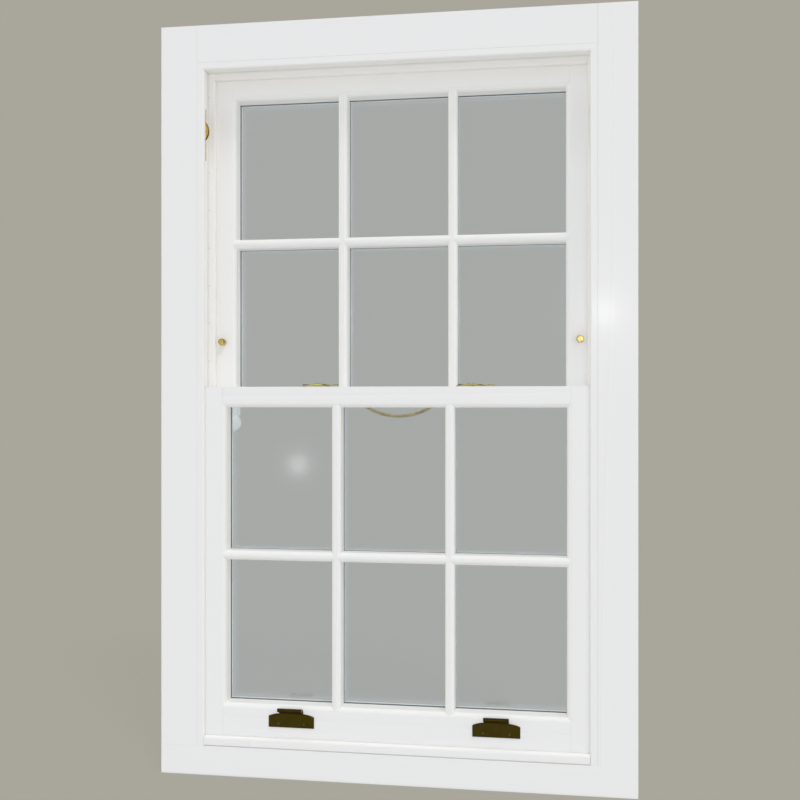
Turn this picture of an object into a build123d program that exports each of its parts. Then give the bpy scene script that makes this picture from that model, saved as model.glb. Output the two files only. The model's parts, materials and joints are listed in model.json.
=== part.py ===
from build123d import *
import math
import os

# Double-hung sash window in its box frame, six panes to each sash. All lengths are in millimetres.
# X runs across the window, Y from the room towards the outside, and Z up. The origin is the middle
# of the sill's underside, half-way through the depth of the box frame.

# Box frame
frame_width = 1000.0
frame_height = 1600.0
side_lining_width = 80.0
head_lining_height = 80.0
lining_thickness = 20.0
lining_edge_bevel = 0.8
outside_lining_lap = 15.0
back_lining_thickness = 10.0
pulley_stile_thickness = 22.0
head_board_thickness = 22.0
tongue_thickness = 8.0
tongue_depth = 10.0
stile_housing_depth = 8.0
joint_clearance = 0.2

# Sill
sill_height = 62.0
sill_nose_reach = 30.0
sill_nose_round = 5.0
sill_slope_angle = 9.0
drip_groove_width = 6.0
drip_groove_depth = 5.0
drip_groove_inset = 12.0

# Beads that guide the sashes
staff_bead_width = 15.0
staff_bead_depth = 9.0
staff_bead_round = 4.0
sill_bead_height = 21.0
sill_bead_round = 6.0
sill_bead_shadow_height = 2.5
sill_bead_shadow_depth = 4.0
parting_bead_thickness = 10.0
parting_bead_stand = 16.5
parting_bead_round = 2.0
parting_groove_depth = 8.0

# Sash joinery
sash_thickness = 57.0
sash_face_play = 1.0
sash_side_play = 3.0
sash_head_play = 3.0
sash_seat_gap = 0.4
sash_stile_width = 57.0
top_rail_height = 56.5
bottom_rail_height = 89.5
meeting_rail_height = 44.0
glazing_bar_width = 20.0
moulding_width = 8.0
moulding_quirk = 1.2
glass_line_depth = 35.0
rebate_cover = 6.5
tenon_thickness = 14.0
tenon_length = 38.0
tenon_shoulder = 6.0
bar_tenon_length = 12.0
meeting_lip_height = 34.0
meeting_lip_splay = 8.0
meeting_lip_face_gap = 2.0
meeting_lip_gap = 1.0
meeting_lip_end_gap = 1.5

# Horns below the upper sash
horn_length = 84.0
horn_block_height = 18.5
horn_round_radius = 20.0
horn_round_inset = 24.75
horn_round_drop = 35.0
horn_round_start_angle = 50.0
horn_round_turn = 118.0
horn_tip_width = 5.0

# Sealed double panes, their spacers and outside beads
glass_thickness = 4.0
pane_cavity = 5.0
pane_edge_gap = 2.0
glazing_bead_depth = 8.0
glazing_bead_bevel = 3.0
sight_line_tolerance = 0.01

# Pulleys, cord grooves and weights
cord_diameter = 6.0
cord_seat_gap = 0.3
cord_stile_gap = 5.5
lower_cord_shift = 6.5
cord_groove_width = 12.0
lower_groove_length = 320.0
upper_groove_drop = 260.0
pulley_drop = 133.0
pulley_plate_height = 113.0
pulley_plate_width = 25.0
pulley_plate_thickness = 2.5
pulley_plate_corner = 4.0
pulley_plate_drop = 6.6
pulley_slot_gap = 1.5
pulley_wheel_width = 9.0
pulley_flange_rise = 1.5
pulley_wheel_gap = 0.5
pulley_cheek_thickness = 2.0
pulley_cheek_reach = 10.0
pulley_cheek_height = 34.0
pulley_case_clearance = 1.0
axle_diameter = 5.0
axle_clearance = 0.05
lower_weight_length = 830.0
upper_weight_length = 880.0
lower_weight_drop = 90.0
upper_weight_rise = 60.0
weight_box_clearance = 4.0
weight_depth = 34.0
weight_corner_bevel = 4.0
weight_eye_depth = 30.0
slip_thickness = 6.0
slip_side_gap = 4.0
slip_foot_height = 170.0
pocket_foot_height = 200.0
pocket_length = 360.0
pocket_width = 26.0
pocket_end_splay = 8.0

# Hook lifts on the bottom rail
lift_spacing = 432.0
lift_rise = 44.0
lift_width = 98.0
lift_side_height = 23.5
lift_shoulder_height = 29.0
lift_shoulder_bulge = 1.2
lift_hook_height = 44.0
lift_plate_thickness = 3.0
lift_edge_bevel = 1.2
lift_hook_width = 52.0
lift_hook_radius = 16.5
lift_lip_diameter = 7.0

# Cam fasteners on the meeting rails
fastener_left_stand = 50.0
fastener_right_stand = 41.0
fastener_pivot_inset = 40.0
fastener_base_length = 62.0
fastener_base_width = 22.0
fastener_base_thickness = 2.5
fastener_post_diameter = 6.0
fastener_cap_diameter = 11.0
fastener_cap_height = 1.2
fastener_play = 0.3
lever_hub_diameter = 21.0
lever_hub_height = 3.4
lever_bore_clearance = 0.05
lever_arm_length = 48.0
lever_arm_width = 9.0
lever_arm_end_width = 6.0
lever_knob_diameter = 11.0
lever_knob_height = 2.6
lever_arm_height = 2.0
cam_radius = 40.0
cam_angle = 76.0
cam_lift = 0.6
cam_thickness = 1.8
keep_width = 24.0
keep_plate_depth = 22.0
keep_front_gap = 2.0
keep_plate_thickness = 2.0
keep_wall_thickness = 3.0
keep_wall_gap = 1.0
keep_lip_reach = 9.0
keep_lip_thickness = 1.8
keep_lip_gap = 0.5

# D handle under the upper meeting rail
handle_span = 140.0
handle_drop = 23.0
handle_rod_diameter = 7.0
handle_foot_diameter = 18.0
handle_foot_thickness = 1.2

# Screw-in sash stops
stop_rise = 99.5
stop_head_diameter = 15.0
stop_head_length = 15.0
stop_head_bevel = 1.5
stop_shank_diameter = 8.0
stop_shank_length = 18.0
stop_bush_diameter = 12.0
stop_bush_length = 20.0
stop_clearance = 0.05

# Turns
quarter_turn = 90.0
mitre_direction = (1, 0, 1)

# Places that follow from the sizes, across the window
half_width = frame_width / 2
half_opening = half_width - side_lining_width
bead_clear_x = half_opening - staff_bead_width
sash_half = half_opening - sash_side_play
sight_x = sash_half - sash_stile_width
bar_x = sight_x / 3
fastener_left_x = -bar_x - fastener_left_stand
fastener_right_x = bar_x + fastener_right_stand
stile_back_x = half_opening + pulley_stile_thickness
box_back_x = half_width - back_lining_thickness
tongue_x = half_opening + (pulley_stile_thickness - tongue_thickness) / 2

# Through the depth of the frame
sash_room_gap = staff_bead_depth + sash_face_play
sash_pitch = sash_thickness + parting_bead_thickness + 2 * sash_face_play
box_depth = sash_room_gap + sash_pitch + sash_thickness + sash_face_play + lining_thickness
room_y = -box_depth / 2
lining_back_y = room_y + lining_thickness
outside_y = box_depth / 2
outside_front_y = outside_y - lining_thickness
lower_front = room_y + sash_room_gap
lower_back = lower_front + sash_thickness
upper_front = lower_front + sash_pitch
lower_middle = lower_front + sash_thickness / 2
upper_middle = upper_front + sash_thickness / 2
parting_y = lower_back + sash_face_play
nose_y = outside_y + sill_nose_reach

# Up the frame
head_soffit = frame_height - head_lining_height
sill_fall = math.tan(math.radians(sill_slope_angle))
seat_z = sill_height + sash_seat_gap
upper_top = head_soffit - sash_head_play
upper_sight_top = upper_top - top_rail_height
lower_sight_low = seat_z + bottom_rail_height
meeting_rail_top = (upper_sight_top + lower_sight_low + meeting_rail_height) / 2
meeting_rail_foot = meeting_rail_top - meeting_rail_height
upper_sight_low = meeting_rail_top
lower_sight_top = meeting_rail_foot
pulley_height = head_soffit - pulley_drop
stop_height = meeting_rail_top + stop_rise

# Line of a cord over the pulleys, which sets the wheels, the grooves and the weights
lower_cord_y = lower_middle + lower_cord_shift
cord_rows = (("lower", lower_cord_y), ("upper", upper_middle))
cord_radius = cord_diameter / 2
cord_x = half_opening - cord_stile_gap - cord_radius
weight_x = (stile_back_x + box_back_x) / 2
axle_x = (cord_x + weight_x) / 2
cord_turn_radius = (weight_x - cord_x) / 2
wheel_radius = cord_turn_radius + pulley_flange_rise
groove_floor_x = cord_x - cord_radius - cord_seat_gap
slot_height = 2 * (wheel_radius + pulley_slot_gap)
cheek_inner = pulley_wheel_width / 2 + pulley_wheel_gap
cheek_outer = cheek_inner + pulley_cheek_thickness
lower_weight_top = pulley_height - lower_weight_drop
upper_weight_top = sill_height + upper_weight_rise + upper_weight_length

os.makedirs("parts", exist_ok=True)


def save(piece, node):
    """Label a finished piece and write it as its own file."""
    piece.part.label = node
    export_step(piece.part, f"parts/{node}.step")


def mirrored(piece):
    """The same piece for the other side of the window."""
    with BuildPart() as twin:
        mirror(piece.part, about=Plane.YZ)
    return twin


def block(low, high, mode=Mode.ADD):
    """A square-edged block between two opposite corners."""
    with Locations(tuple((a + b) / 2 for a, b in zip(low, high))):
        Box(*(b - a for a, b in zip(low, high)), mode=mode)


def elevation(y):
    """Upright plane across the window at depth y, with X to the right and Z up."""
    return Plane(origin=(0, y, 0), x_dir=(1, 0, 0), z_dir=(0, -1, 0))


def section(x):
    """Upright plane through the wall at x, with Y to the right and Z up."""
    return Plane(origin=(x, 0, 0), x_dir=(0, 1, 0), z_dir=(1, 0, 0))


# Sill, weathered outwards and throated under its nose
nose_height = sill_height - sill_fall * (nose_y - lower_front)
with BuildPart() as sill:
    with BuildSketch(section(0)):
        with BuildLine():
            Polyline(
                (room_y, 0),
                (nose_y, 0),
                (nose_y, nose_height),
                (lower_front, sill_height),
                (room_y, sill_height),
                close=True,
            )
        sill_face = make_face()
        fillet(sill_face.vertices().group_by(Axis.X)[-1], sill_nose_round)
        with Locations((nose_y - drip_groove_inset, 0)):
            Rectangle(drip_groove_width, 2 * drip_groove_depth, mode=Mode.SUBTRACT)
    extrude(amount=half_width, both=True)
save(sill, "sill")


# Inside linings, grooved at the back for the tongues of the pulley stiles and head board
with BuildPart() as inside_lining_left:
    block((-half_width, room_y, 0), (-half_opening, lining_back_y, frame_height))
    add(sill.part, mode=Mode.SUBTRACT)
    face_edges = edges().filter_by(Axis.Z).group_by(Axis.Y)[0]
    chamfer(face_edges.sort_by(Axis.X)[-1], lining_edge_bevel)
    block(
        (-tongue_x - tongue_thickness, lining_back_y - tongue_depth, 0),
        (-tongue_x, lining_back_y, head_soffit + stile_housing_depth),
        Mode.SUBTRACT,
    )
save(inside_lining_left, "inside_lining_left")
save(mirrored(inside_lining_left), "inside_lining_right")

head_tongue_z = head_soffit + (head_board_thickness - tongue_thickness) / 2
with BuildPart() as inside_lining_head:
    block((-half_opening, room_y, head_soffit), (half_opening, lining_back_y, frame_height))
    face_edges = edges().filter_by(Axis.X).group_by(Axis.Y)[0]
    chamfer(face_edges.sort_by(Axis.Z)[0], lining_edge_bevel)
    block(
        (-half_opening, lining_back_y - tongue_depth, head_tongue_z),
        (half_opening, lining_back_y, head_tongue_z + tongue_thickness),
        Mode.SUBTRACT,
    )
save(inside_lining_head, "inside_lining_head")

# Outside linings, which pass the pulley stiles to stop the upper sash
outside_clear_x = half_opening - outside_lining_lap
with BuildPart() as outside_lining_left:
    block((-half_width, outside_front_y, 0), (-outside_clear_x, outside_y, frame_height))
    add(sill.part, mode=Mode.SUBTRACT)
    block(
        (-tongue_x - tongue_thickness, outside_front_y, 0),
        (-tongue_x, outside_front_y + tongue_depth, head_soffit + stile_housing_depth),
        Mode.SUBTRACT,
    )
save(outside_lining_left, "outside_lining_left")
save(mirrored(outside_lining_left), "outside_lining_right")

with BuildPart() as outside_lining_head:
    block(
        (-outside_clear_x, outside_front_y, head_soffit - outside_lining_lap),
        (outside_clear_x, outside_y, frame_height),
    )
    block(
        (-outside_clear_x, outside_front_y, head_tongue_z),
        (outside_clear_x, outside_front_y + tongue_depth, head_tongue_z + tongue_thickness),
        Mode.SUBTRACT,
    )
save(outside_lining_head, "outside_lining_head")

with BuildPart() as back_linings:
    block((-half_width, lining_back_y, 0), (-box_back_x, outside_front_y, frame_height))
    add(sill.part, mode=Mode.SUBTRACT)
    mirror(about=Plane.YZ)
save(back_linings, "back_linings")


# Pulley stiles, with their tongues, parting groove, pulley mortises and pocket opening
tongue_reach = tongue_depth - joint_clearance
plate_middle_z = pulley_height - pulley_plate_drop
pocket_low_y = lower_middle - pocket_width / 2


def pulley_face(middle_y):
    """Plane on the left pulley stile's face at the middle of a pulley plate, looking into the stile."""
    return Plane(origin=(-half_opening, middle_y, plate_middle_z), z_dir=(-1, 0, 0), x_dir=(0, 1, 0))


def pocket_outline(inset):
    """Outline of the pocket's long side, splayed at both ends, drawn in by an inset."""
    low = pocket_foot_height + inset
    high = pocket_foot_height + pocket_length - inset
    return (
        (-half_opening, low),
        (-half_opening, high),
        (-stile_back_x, high - pocket_end_splay),
        (-stile_back_x, low + pocket_end_splay),
    )


with BuildPart() as pulley_stile_left:
    block(
        (-stile_back_x, lining_back_y, 0),
        (-half_opening, outside_front_y, head_soffit + stile_housing_depth),
    )
    block(
        (-tongue_x - tongue_thickness, lining_back_y - tongue_reach, 0),
        (-tongue_x, outside_front_y + tongue_reach, head_soffit + stile_housing_depth),
    )
    add(sill.part, mode=Mode.SUBTRACT)
    block(
        (-half_opening - parting_groove_depth, parting_y, 0),
        (-half_opening, parting_y + parting_bead_thickness, head_soffit),
        Mode.SUBTRACT,
    )
    for row, middle_y in cord_rows:
        with BuildSketch(pulley_face(middle_y)):
            RectangleRounded(pulley_plate_width, pulley_plate_height, pulley_plate_corner)
        extrude(amount=pulley_plate_thickness, mode=Mode.SUBTRACT)
        block(
            (-stile_back_x, middle_y - cheek_outer - pulley_case_clearance, pulley_height - slot_height / 2),
            (-half_opening, middle_y + cheek_outer + pulley_case_clearance, pulley_height + slot_height / 2),
            Mode.SUBTRACT,
        )
    with BuildSketch(elevation(pocket_low_y)):
        with BuildLine():
            Polyline(*pocket_outline(0), close=True)
        make_face()
    extrude(amount=-pocket_width, mode=Mode.SUBTRACT)
save(pulley_stile_left, "pulley_stile_left")
save(mirrored(pulley_stile_left), "pulley_stile_right")

with BuildPart() as pocket_pieces:
    with BuildSketch(elevation(pocket_low_y + joint_clearance)):
        with BuildLine():
            Polyline(*pocket_outline(joint_clearance), close=True)
        make_face()
    extrude(amount=-(pocket_width - 2 * joint_clearance))
    mirror(about=Plane.YZ)
save(pocket_pieces, "pocket_pieces")

# Head board, housed over the pulley stiles and tongued into the head linings
head_top = head_soffit + head_board_thickness
with BuildPart() as head_board:
    block((-box_back_x, lining_back_y, head_soffit), (box_back_x, outside_front_y, head_top))
    block(
        (-half_opening, lining_back_y - tongue_reach, head_tongue_z),
        (half_opening, lining_back_y, head_tongue_z + tongue_thickness),
    )
    block(
        (-outside_clear_x, outside_front_y, head_tongue_z),
        (outside_clear_x, outside_front_y + tongue_reach, head_tongue_z + tongue_thickness),
    )
    for left_x in (-stile_back_x, half_opening):
        block(
            (left_x, lining_back_y, head_soffit),
            (left_x + pulley_stile_thickness, outside_front_y, head_soffit + stile_housing_depth),
            Mode.SUBTRACT,
        )
    block(
        (-half_opening, parting_y, head_soffit),
        (half_opening, parting_y + parting_bead_thickness, head_soffit + parting_groove_depth),
        Mode.SUBTRACT,
    )
save(head_board, "head_board")

# Parting slips that keep the two weights in each box apart, hung from the head board
slip_y = (lower_cord_y + upper_middle) / 2
with BuildPart() as parting_slips:
    block(
        (-box_back_x + slip_side_gap, slip_y - slip_thickness / 2, slip_foot_height),
        (-stile_back_x - slip_side_gap, slip_y + slip_thickness / 2, head_soffit),
    )
    mirror(about=Plane.YZ)
save(parting_slips, "parting_slips")


# Staff beads, mitred at the head, and the sill bead between them
mitre_left = Plane(origin=(-half_opening, 0, head_soffit), z_dir=mitre_direction)
with BuildPart() as staff_bead_left:
    block((-half_opening, room_y, sill_height), (-bead_clear_x, room_y + staff_bead_depth, head_soffit))
    face_edges = edges().filter_by(Axis.Z).group_by(Axis.Y)[0]
    fillet(face_edges.sort_by(Axis.X)[-1], staff_bead_round)
    split(bisect_by=mitre_left, keep=Keep.BOTTOM)
save(staff_bead_left, "staff_bead_left")
save(mirrored(staff_bead_left), "staff_bead_right")

with BuildPart() as head_bead_half:
    block(
        (-half_opening, room_y, head_soffit - staff_bead_width),
        (0, room_y + staff_bead_depth, head_soffit),
    )
    face_edges = edges().filter_by(Axis.X).group_by(Axis.Y)[0]
    fillet(face_edges.sort_by(Axis.Z)[0], staff_bead_round)
    split(bisect_by=mitre_left, keep=Keep.TOP)
with BuildPart() as staff_bead_head:
    add(head_bead_half.part)
    mirror(about=Plane.YZ)
save(staff_bead_head, "staff_bead_head")

with BuildPart() as staff_bead_sill:
    block(
        (-bead_clear_x, room_y, sill_height),
        (bead_clear_x, room_y + staff_bead_depth, sill_height + sill_bead_height),
    )
    face_edges = edges().filter_by(Axis.X).group_by(Axis.Y)[0]
    fillet(face_edges.sort_by(Axis.Z)[-1], sill_bead_round)
    block(
        (-bead_clear_x, room_y, sill_height),
        (bead_clear_x, room_y + sill_bead_shadow_depth, sill_height + sill_bead_shadow_height),
        Mode.SUBTRACT,
    )
save(staff_bead_sill, "staff_bead_sill")

# Parting beads between the two sashes
parting_clear_x = half_opening - parting_bead_stand
parting_back_y = parting_y + parting_bead_thickness
with BuildPart() as parting_bead_left:
    block(
        (-half_opening - parting_groove_depth, parting_y, 0),
        (-parting_clear_x, parting_back_y, head_soffit),
    )
    fillet(edges().filter_by(Axis.Z).group_by(Axis.X)[-1], parting_bead_round)
    add(sill.part, mode=Mode.SUBTRACT)
save(parting_bead_left, "parting_bead_left")
save(mirrored(parting_bead_left), "parting_bead_right")

with BuildPart() as parting_bead_head:
    block(
        (-parting_clear_x, parting_y, head_soffit - parting_bead_stand),
        (parting_clear_x, parting_back_y, head_soffit + parting_groove_depth),
    )
    fillet(edges().filter_by(Axis.X).group_by(Axis.Z)[0], parting_bead_round)
save(parting_bead_head, "parting_bead_head")


# Sash members: one moulded and rebated section serves stiles, rails and, doubled, the glazing bars
def sash_member(plane, width, length, doubled=False):
    """A straight member, square at both ends, with its glass edge at width from the plane's Y axis."""
    flat = width - moulding_width
    with BuildPart() as member:
        with BuildSketch(plane):
            with BuildLine():
                ovolo = CenterArc(
                    (flat, moulding_quirk + moulding_width), moulding_width, -quarter_turn, quarter_turn
                )
                Polyline(
                    ovolo @ 1,
                    (width, glass_line_depth),
                    (width - rebate_cover, glass_line_depth),
                    (width - rebate_cover, sash_thickness),
                    (0, sash_thickness),
                    (0, 0),
                    (flat, 0),
                    ovolo @ 0,
                )
            make_face()
            if doubled:
                mirror(about=Plane.YZ)
        extrude(amount=length / 2, both=True)
    return member


def tenon_depth(front_y):
    """Front and back of every tenon, just ahead of the glass line."""
    return front_y + glass_line_depth - tenon_thickness, front_y + glass_line_depth


def sash_stile(front_y, low, high, rail_spans, groove_y, groove_low):
    """Left stile of a sash, mortised for its rails and ploughed down its edge for a cord."""
    plane = Plane(origin=(-sash_half, front_y, (low + high) / 2), x_dir=(1, 0, 0), z_dir=(0, 0, 1))
    near, far = tenon_depth(front_y)
    with BuildPart() as stile:
        add(sash_member(plane, sash_stile_width, high - low).part)
        for foot, top in rail_spans:
            block(
                (-sight_x - tenon_length, near, foot + tenon_shoulder),
                (-sight_x, far, top - tenon_shoulder),
                Mode.SUBTRACT,
            )
        block(
            (-sash_half, groove_y - cord_groove_width / 2, groove_low),
            (-groove_floor_x, groove_y + cord_groove_width / 2, high),
            Mode.SUBTRACT,
        )
    return stile


def rail_tenons(front_y, foot, top):
    """A tenon at each end of a rail, a little slack in its mortise."""
    near, far = tenon_depth(front_y)
    reach = tenon_length - joint_clearance
    shoulder = tenon_shoulder + joint_clearance
    for left_x in (-sight_x - reach, sight_x):
        block((left_x, near + joint_clearance, foot + shoulder), (left_x + reach, far, top - shoulder))


def bar_mortises(front_y, sight_z, into):
    """Mortises in a rail for the two upright bars, going up or down from the sight line."""
    near, far = tenon_depth(front_y)
    bar_core = glazing_bar_width / 2 - rebate_cover
    for x in (-bar_x, bar_x):
        block(
            (x - bar_core, near, sight_z + min(0, into) * bar_tenon_length),
            (x + bar_core, far, sight_z + max(0, into) * bar_tenon_length),
            Mode.SUBTRACT,
        )


def sash_rail(plane, height, front_y, foot, top, stiles, sight_z, into):
    """A moulded rail scribed over the stiles' mouldings, with tenons and bar mortises."""
    with BuildPart() as rail:
        add(sash_member(plane, height, 2 * (sight_x + rebate_cover)).part)
        for stile in stiles:
            add(stile.part, mode=Mode.SUBTRACT)
        rail_tenons(front_y, foot, top)
        bar_mortises(front_y, sight_z, into)
    return rail


def upright_bars(front_y, low, high, rails):
    """The two upright glazing bars of a sash, scribed over its rails and tenoned into them."""
    near, far = tenon_depth(front_y)
    bar_core = glazing_bar_width / 2 - rebate_cover
    reach = bar_tenon_length - joint_clearance
    with BuildPart() as bars:
        for x in (-bar_x, bar_x):
            plane = Plane(origin=(x, front_y, (low + high) / 2), x_dir=(1, 0, 0), z_dir=(0, 0, 1))
            add(sash_member(plane, glazing_bar_width / 2, high - low + 2 * rebate_cover, doubled=True).part)
        for rail in rails:
            add(rail.part, mode=Mode.SUBTRACT)
        for x in (-bar_x, bar_x):
            block(
                (x - bar_core + joint_clearance, near + joint_clearance, low - reach),
                (x + bar_core - joint_clearance, far, high + reach),
            )
    return bars


def cross_bars(front_y, middle_z, columns, neighbours):
    """The three short level bars of a sash, scribed between the stiles and upright bars."""
    with BuildPart() as bars:
        for low, high in columns:
            plane = Plane(origin=((low + high) / 2, front_y, middle_z), x_dir=(0, 0, 1), z_dir=(-1, 0, 0))
            add(sash_member(plane, glazing_bar_width / 2, high - low + 2 * rebate_cover, doubled=True).part)
        for neighbour in neighbours:
            add(neighbour.part, mode=Mode.SUBTRACT)
    return bars


half_bar = glazing_bar_width / 2
columns = (
    (-sight_x, -bar_x - half_bar),
    (-bar_x + half_bar, bar_x - half_bar),
    (bar_x + half_bar, sight_x),
)


def daylights(low, high):
    """Sight rectangles of a sash's six panes, as low and high X, low and high Z."""
    middle = (low + high) / 2
    rows = ((low, middle - half_bar), (middle + half_bar, high))
    return [(*column, *row) for row in rows for column in columns]


def panes(front_y, openings):
    """Inner and outer glass of each sealed unit, bedded against the sash."""
    reach = rebate_cover - pane_edge_gap
    near = front_y + glass_line_depth
    outer = near + glass_thickness + pane_cavity
    with BuildPart() as glass:
        for left, right, low, high in openings:
            for face in (near, outer):
                block(
                    (left - reach, face, low - reach),
                    (right + reach, face + glass_thickness, high + reach),
                )
    return glass


def spacers(front_y, openings):
    """The bar round each sealed unit that holds its two glasses apart."""
    reach = rebate_cover - pane_edge_gap
    near = front_y + glass_line_depth + glass_thickness
    far = near + pane_cavity
    with BuildPart() as frames:
        for left, right, low, high in openings:
            block((left - reach, near, low - reach), (right + reach, far, high + reach))
            block((left, near, low), (right, far, high), Mode.SUBTRACT)
    return frames


def glazing_beads(front_y, openings):
    """Four mitred beads round the outside of each pane, with a bevelled inner edge."""
    near = front_y + glass_line_depth + 2 * glass_thickness + pane_cavity
    slack = joint_clearance / 2
    with BuildPart() as beads:
        for left, right, low, high in openings:
            corners = (Vector(left, low), Vector(right, low), Vector(right, high), Vector(left, high))
            for start, end in zip(corners, corners[1:] + corners[:1]):
                along = (end - start).normalized()
                outward = Vector(along.Y, -along.X)
                with BuildSketch(elevation(near)):
                    with BuildLine():
                        Polyline(
                            start + along * slack,
                            start + along * (slack - rebate_cover) + outward * rebate_cover,
                            end + along * (rebate_cover - slack) + outward * rebate_cover,
                            end - along * slack,
                            close=True,
                        )
                    make_face()
                extrude(amount=-glazing_bead_depth)
        back_edges = beads.edges().group_by(Axis.Y)[-1]
        chamfer([edge for edge in back_edges if borders_daylight(edge, openings)], glazing_bead_bevel)
    return beads


def borders_daylight(edge, openings):
    """Whether an edge runs along the side of one of the sight rectangles."""
    middle = edge @ (1 / 2)
    for left, right, low, high in openings:
        from_side = min(abs(middle.X - left), abs(middle.X - right))
        from_end = min(abs(middle.Z - low), abs(middle.Z - high))
        within = left <= middle.X <= right and low <= middle.Z <= high
        if within and min(from_side, from_end) < sight_line_tolerance:
            return True
    return False


# Upper sash: horned stiles, top rail, plain-topped meeting rail, bars and glass
upper_middle_z = (upper_sight_low + upper_sight_top) / 2
upper_spans = ((upper_sight_top, upper_top), (meeting_rail_foot, meeting_rail_top))
with BuildPart() as upper_stile_left:
    upper_groove_low = pulley_height - upper_groove_drop
    add(
        sash_stile(
            upper_front, meeting_rail_foot, upper_top, upper_spans, upper_middle, upper_groove_low
        ).part
    )
    with BuildSketch(elevation(upper_front)):
        with BuildLine():
            belly = CenterArc(
                (-sight_x - horn_round_inset, meeting_rail_foot - horn_round_drop),
                horn_round_radius,
                horn_round_start_angle,
                -horn_round_turn,
            )
            tip_z = meeting_rail_foot - horn_length
            tail = TangentArc(belly @ 1, (-sash_half + horn_tip_width, tip_z), tangent=belly % 1)
            Polyline(
                tail @ 1,
                (-sash_half, tip_z),
                (-sash_half, meeting_rail_foot),
                (-sight_x - rebate_cover, meeting_rail_foot),
                (-sight_x - rebate_cover, meeting_rail_foot - horn_block_height),
                belly @ 0,
            )
        make_face()
    extrude(amount=-sash_thickness)
    with BuildSketch(elevation(upper_front)):
        with Locations((-sash_half + sash_stile_width / 2, stop_height)):
            Circle(stop_bush_diameter / 2)
    extrude(amount=-stop_bush_length, mode=Mode.SUBTRACT)
save(upper_stile_left, "upper_stile_left")
upper_stile_right = mirrored(upper_stile_left)
save(upper_stile_right, "upper_stile_right")
upper_stiles = (upper_stile_left, upper_stile_right)

top_plane = Plane(origin=(0, upper_front, upper_top), x_dir=(0, 0, -1), z_dir=(1, 0, 0))
upper_top_rail = sash_rail(
    top_plane, top_rail_height, upper_front, upper_sight_top, upper_top, upper_stiles, upper_sight_top, 1
)
save(upper_top_rail, "upper_top_rail")

lip_foot = meeting_rail_top - meeting_lip_height
lip_end_x = parting_clear_x - meeting_lip_end_gap
lip_top_y = upper_front - meeting_lip_face_gap
with BuildPart() as upper_meeting_rail:
    with BuildSketch(section(0)):
        with BuildLine():
            Polyline(
                (upper_front, meeting_rail_foot),
                (upper_front, meeting_rail_top),
                (upper_front + glass_line_depth, meeting_rail_top),
                (upper_front + glass_line_depth, meeting_rail_top - rebate_cover),
                (upper_front + sash_thickness, meeting_rail_top - rebate_cover),
                (upper_front + sash_thickness, meeting_rail_foot),
                close=True,
            )
        make_face()
    extrude(amount=sight_x + rebate_cover, both=True)
    for stile in upper_stiles:
        add(stile.part, mode=Mode.SUBTRACT)
    rail_tenons(upper_front, meeting_rail_foot, meeting_rail_top)
    bar_mortises(upper_front, meeting_rail_top, -1)
    with BuildSketch(section(0)):
        with BuildLine():
            Polyline(
                (upper_front, meeting_rail_top),
                (lip_top_y + meeting_lip_gap, meeting_rail_top),
                (lip_top_y + meeting_lip_gap - meeting_lip_splay, lip_foot),
                (lip_top_y + meeting_lip_gap - meeting_lip_splay, meeting_rail_foot),
                (upper_front, meeting_rail_foot),
                close=True,
            )
        make_face()
    extrude(amount=lip_end_x, both=True)
save(upper_meeting_rail, "upper_meeting_rail")

upper_upright_bars = upright_bars(
    upper_front, upper_sight_low, upper_sight_top, (upper_top_rail, upper_meeting_rail)
)
save(upper_upright_bars, "upper_upright_bars")
upper_cross_bars = cross_bars(upper_front, upper_middle_z, columns, (*upper_stiles, upper_upright_bars))
save(upper_cross_bars, "upper_cross_bars")

upper_daylights = daylights(upper_sight_low, upper_sight_top)
save(panes(upper_front, upper_daylights), "upper_panes")
save(spacers(upper_front, upper_daylights), "upper_pane_spacers")
save(glazing_beads(upper_front, upper_daylights), "upper_glazing_beads")


# Lower sash: stiles and bottom rail cut to the slope of the sill, meeting rail with its splayed lip
sill_slope = math.radians(sill_slope_angle)
seat_plane = Plane(
    origin=(0, lower_front, seat_z), x_dir=(1, 0, 0), z_dir=(0, math.sin(sill_slope), math.cos(sill_slope))
)
lower_foot = seat_z - sill_fall * sash_thickness
lower_middle_z = (lower_sight_low + lower_sight_top) / 2
lower_spans = ((seat_z, lower_sight_low), (meeting_rail_foot, meeting_rail_top))
lower_groove_low = meeting_rail_top - lower_groove_length
with BuildPart() as lower_stile_left:
    add(
        sash_stile(
            lower_front, lower_foot, meeting_rail_top, lower_spans, lower_cord_y, lower_groove_low
        ).part
    )
    split(bisect_by=seat_plane, keep=Keep.TOP)
save(lower_stile_left, "lower_stile_left")
lower_stile_right = mirrored(lower_stile_left)
save(lower_stile_right, "lower_stile_right")
lower_stiles = (lower_stile_left, lower_stile_right)

bottom_plane = Plane(origin=(0, lower_front, lower_foot), x_dir=(0, 0, 1), z_dir=(-1, 0, 0))
with BuildPart() as lower_bottom_rail:
    rail_height = lower_sight_low - lower_foot
    add(
        sash_rail(
            bottom_plane, rail_height, lower_front, seat_z, lower_sight_low, lower_stiles, lower_sight_low, -1
        ).part
    )
    split(bisect_by=seat_plane, keep=Keep.TOP)
save(lower_bottom_rail, "lower_bottom_rail")

meeting_plane = Plane(origin=(0, lower_front, meeting_rail_top), x_dir=(0, 0, -1), z_dir=(1, 0, 0))
with BuildPart() as lower_meeting_rail:
    add(
        sash_rail(
            meeting_plane,
            meeting_rail_height,
            lower_front,
            meeting_rail_foot,
            meeting_rail_top,
            lower_stiles,
            meeting_rail_foot,
            1,
        ).part
    )
    with BuildSketch(section(0)):
        with BuildLine():
            Polyline(
                (lower_back, meeting_rail_top),
                (lip_top_y, meeting_rail_top),
                (lip_top_y - meeting_lip_splay, lip_foot),
                (lower_back, lip_foot),
                close=True,
            )
        make_face()
    extrude(amount=lip_end_x, both=True)
save(lower_meeting_rail, "lower_meeting_rail")

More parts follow.
